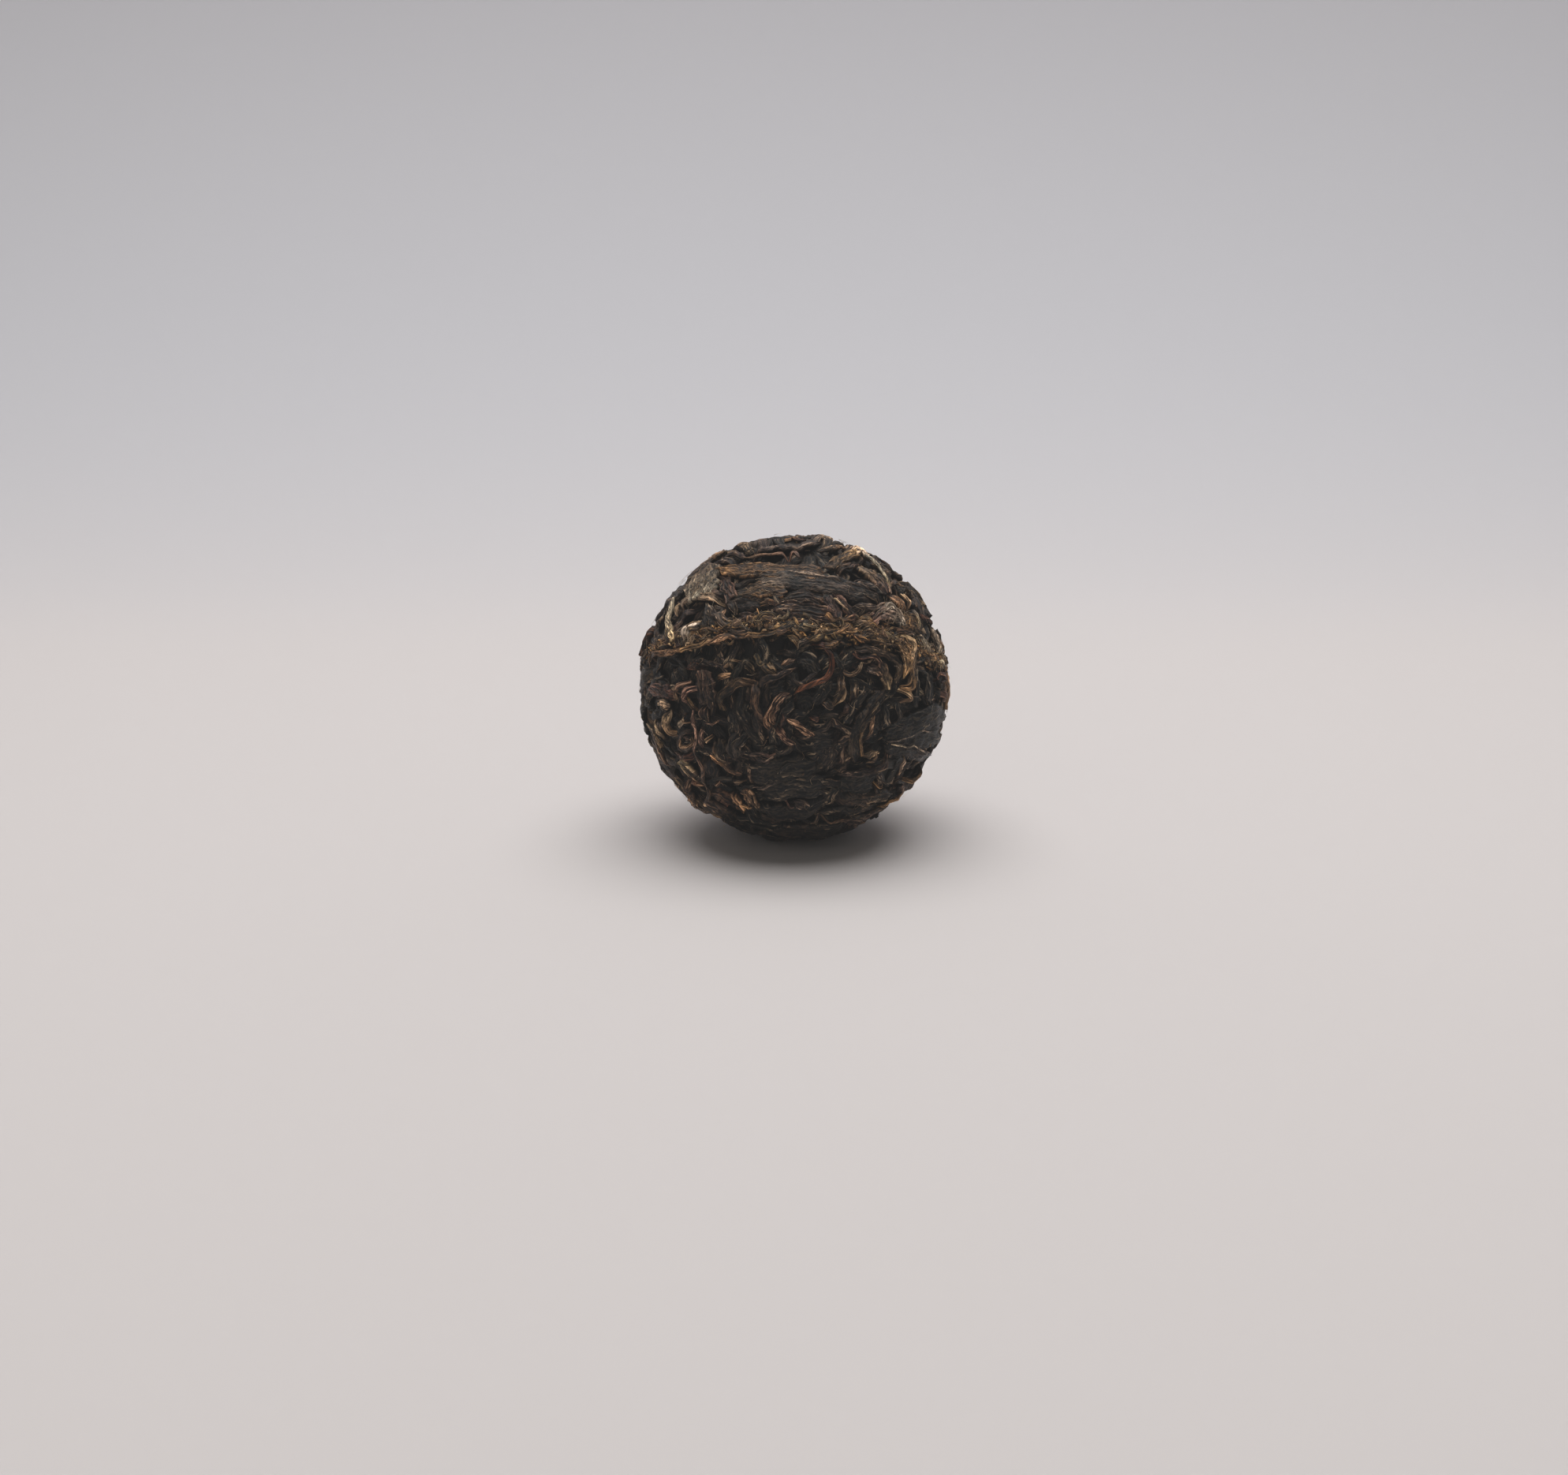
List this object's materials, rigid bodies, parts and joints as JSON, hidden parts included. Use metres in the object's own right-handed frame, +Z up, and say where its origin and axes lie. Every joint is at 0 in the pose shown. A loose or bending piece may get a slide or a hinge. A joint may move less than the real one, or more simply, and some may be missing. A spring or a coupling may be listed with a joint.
{
  "type": "tea pearl",
  "caption": "Ball of whole rolled and folded dark tea leaves pressed in a round mould, with a crumbly seam running round it.",
  "frame": {"origin": "middle of the small flat spot that the pearl rests on", "axes": "+Z up, -Y towards the face that shows best, +X to the right of that face"},
  "size_m": [0.0238, 0.0238, 0.0236],
  "materials": {
    "pressed_leaf": "matt dried leaf with a faint sheen, from slate-black and plum to olive, tan and gold"
  },
  "bodies": {
    "root": {"tea_pearl": "pressed_leaf"}
  },
  "joints": []
}
